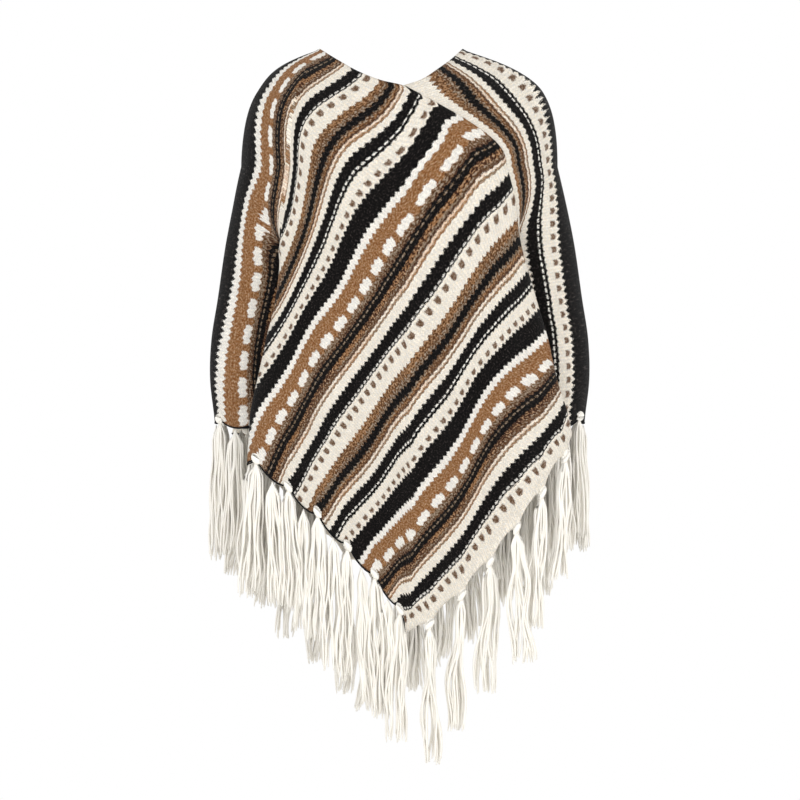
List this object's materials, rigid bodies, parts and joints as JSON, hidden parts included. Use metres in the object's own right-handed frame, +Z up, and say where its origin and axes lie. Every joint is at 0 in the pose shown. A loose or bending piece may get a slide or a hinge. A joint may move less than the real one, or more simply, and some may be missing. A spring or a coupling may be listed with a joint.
{
  "type": "knitted poncho sweater",
  "caption": "Striped knitted poncho in its hollow worn form, with a V neck, open sides, pointed front and back hems and a knotted yarn fringe.",
  "frame": {"origin": "middle of the neck opening at the height of the shoulder tops, where the wearer's shoulders carry the garment", "axes": "+Z up, -Y out of the front of the garment, +X towards the right of a viewer who looks at the front"},
  "size_m": [0.5512, 0.2859, 1.0155],
  "materials": {
    "knit_a": "cross-striped wool-blend knit in cream, black, caramel and marled brown, matt",
    "knit_b": "cross-striped wool-blend knit in cream, black, caramel and marled brown, matt",
    "fringe_yarn": "soft cream plied yarn, knotted in tassels, matt"
  },
  "bodies": {
    "root": {"panel_a": "knit_a", "panel_b": "knit_b", "fringe_a_end": "fringe_yarn", "fringe_a_side": "fringe_yarn", "fringe_b_end": "fringe_yarn", "fringe_b_side": "fringe_yarn"}
  },
  "joints": []
}
